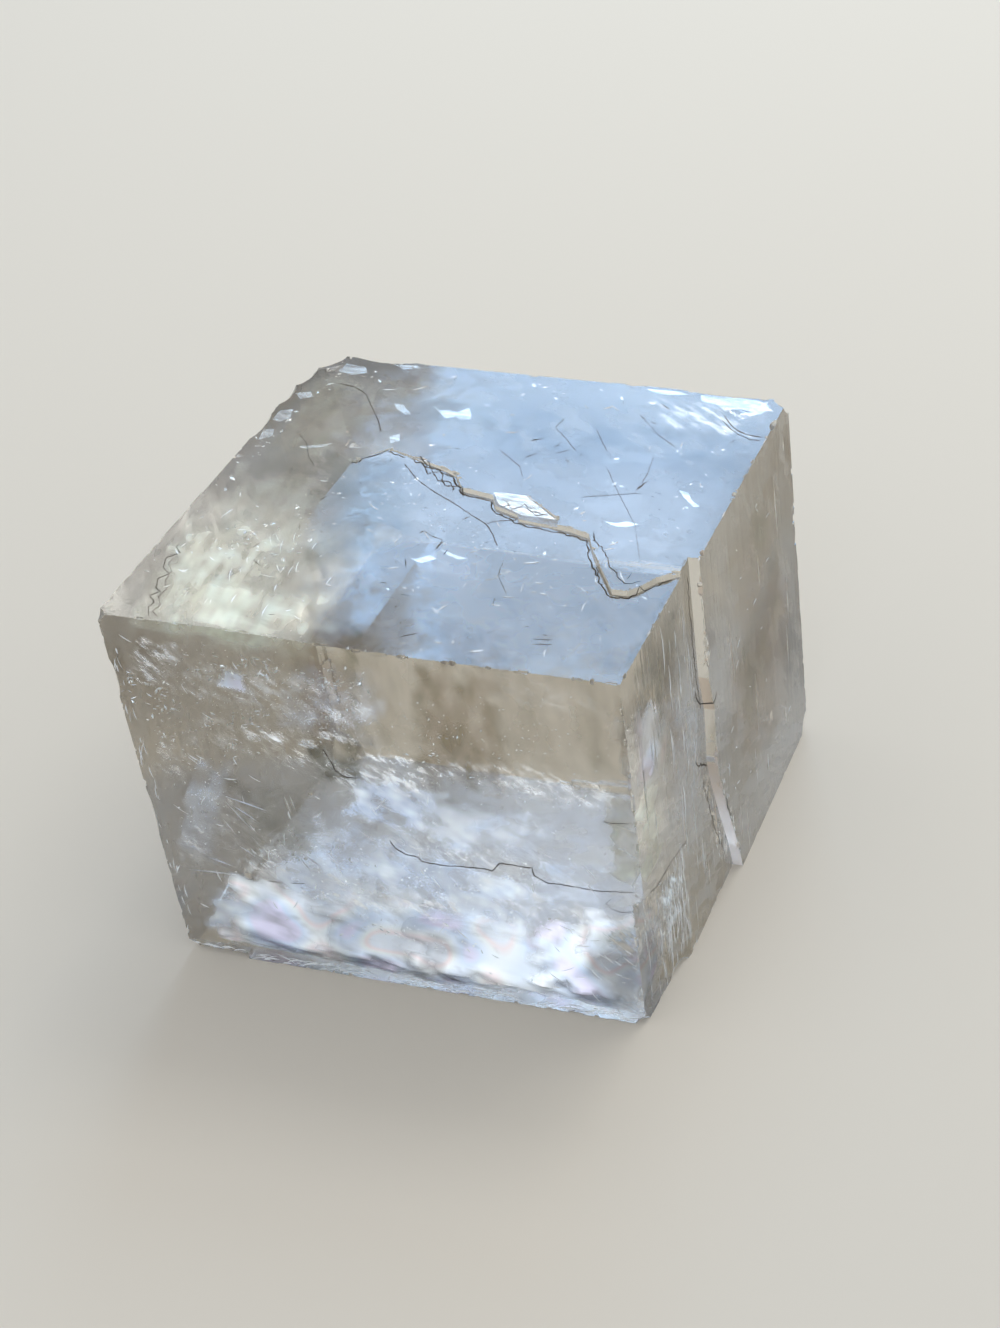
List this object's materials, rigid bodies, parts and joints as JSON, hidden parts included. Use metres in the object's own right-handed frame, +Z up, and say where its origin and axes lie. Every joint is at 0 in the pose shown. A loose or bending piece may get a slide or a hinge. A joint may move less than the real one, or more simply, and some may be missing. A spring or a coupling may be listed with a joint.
{
  "type": "calcite cleavage crystal",
  "caption": "Clear calcite cleavage block, a slanted box with chipped edges and broken cleavage steps, lying on one of its flat faces.",
  "frame": {"origin": "middle of the bounding box, on the face that the crystal rests on", "axes": "+X along the front edge towards the right, +Y away from the front face, +Z up"},
  "size_m": [0.08, 0.066, 0.045],
  "materials": {
    "calcite": "clear cleavage faces with a faint honey tint, fine scratches and chipped edges"
  },
  "bodies": {
    "root": {"calcite_crystal": "calcite"}
  },
  "joints": []
}
